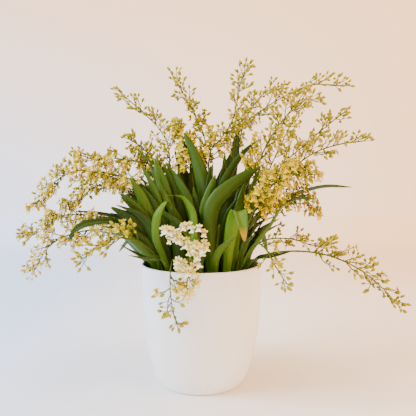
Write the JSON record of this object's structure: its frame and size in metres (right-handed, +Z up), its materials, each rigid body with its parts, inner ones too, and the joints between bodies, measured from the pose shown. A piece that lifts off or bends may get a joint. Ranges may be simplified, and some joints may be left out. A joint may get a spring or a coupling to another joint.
{
  "type": "potted orchid",
  "caption": "Small-flowered orchid in flower: strap leaves and thin arching branched sprays of tiny yellow and cream flowers, in a plain round white pot.",
  "frame": {"origin": "centre of the pot's flat underside, on the surface it stands on", "axes": "+Z up along the pot's axis, -Y towards the front of the plant, +X to the right as seen from the front"},
  "size_m": [0.4812, 0.2702, 0.4021],
  "materials": {
    "white_glaze": "satin white glaze",
    "grow_pot_plastic": "dark matt plastic",
    "bark": "rough bark chips",
    "leaf_green": "waxy dark green leaf",
    "leaf_light": "lighter green leaf",
    "growth_green": "green pseudobulb with leaves",
    "yellow_flowers": "yellow petals, golden buds and green stems",
    "cream_flowers": "cream petals with yellow centres, and green stems"
  },
  "bodies": {
    "root": {"outer_pot": "white_glaze", "grow_pot": "grow_pot_plastic", "bark": "bark", "leaf_front_broad": "leaf_green", "leaf_left_upright": "leaf_green", "leaf_left_narrow": "leaf_green", "leaf_left_rounded": "leaf_green", "leaf_left_broad": "leaf_green", "leaf_front_curled": "leaf_light", "leaf_front_bent": "leaf_light", "leaf_right_tall": "leaf_green", "leaf_centre_tall": "leaf_green", "leaf_centre_right": "leaf_green", "leaf_right_broad": "leaf_green", "leaf_front_folded": "leaf_light", "leaf_right_arching": "leaf_green", "leaf_far_right": "leaf_green", "leaf_front_low": "leaf_green", "leaf_left_arching": "leaf_light", "leaf_left_upper": "leaf_green", "leaf_left_low": "leaf_green", "leaf_left_rim": "leaf_green", "leaf_rim_left": "leaf_green", "leaf_rim_right": "leaf_green", "leaf_low_right": "leaf_green", "leaf_back_left": "leaf_green", "leaf_back_middle": "leaf_green", "leaf_back_right": "leaf_green", "leaf_back_low": "leaf_green", "leaf_back_arch": "leaf_green", "growth_left": "growth_green", "growth_front": "growth_green", "growth_right": "growth_green", "growth_back": "growth_green", "spray_left_upper": "yellow_flowers", "spray_crown_left": "yellow_flowers", "spray_crown_top": "yellow_flowers", "spray_left_buds": "yellow_flowers", "spray_left_middle": "yellow_flowers", "spray_left_long": "yellow_flowers", "spray_left_drooping": "cream_flowers", "spray_centre_tall": "yellow_flowers", "spray_right_tall": "yellow_flowers", "spray_right_upper": "yellow_flowers", "spray_right_crown": "yellow_flowers", "spray_back_crown": "yellow_flowers", "spray_right_fan": "yellow_flowers", "spray_right_middle": "yellow_flowers", "spray_right_dense": "yellow_flowers", "spray_right_low": "yellow_flowers", "spray_low_left_outer": "cream_flowers", "spray_low_left_upper": "cream_flowers", "spray_low_left_front": "yellow_flowers", "spray_low_right_arch": "yellow_flowers", "spray_low_right_short": "yellow_flowers", "spray_front_right": "yellow_flowers", "spray_front_hanging": "yellow_flowers", "spray_front_left_cluster": "cream_flowers", "spray_front_cluster": "cream_flowers", "spray_back_drooping": "yellow_flowers"}
  },
  "joints": []
}
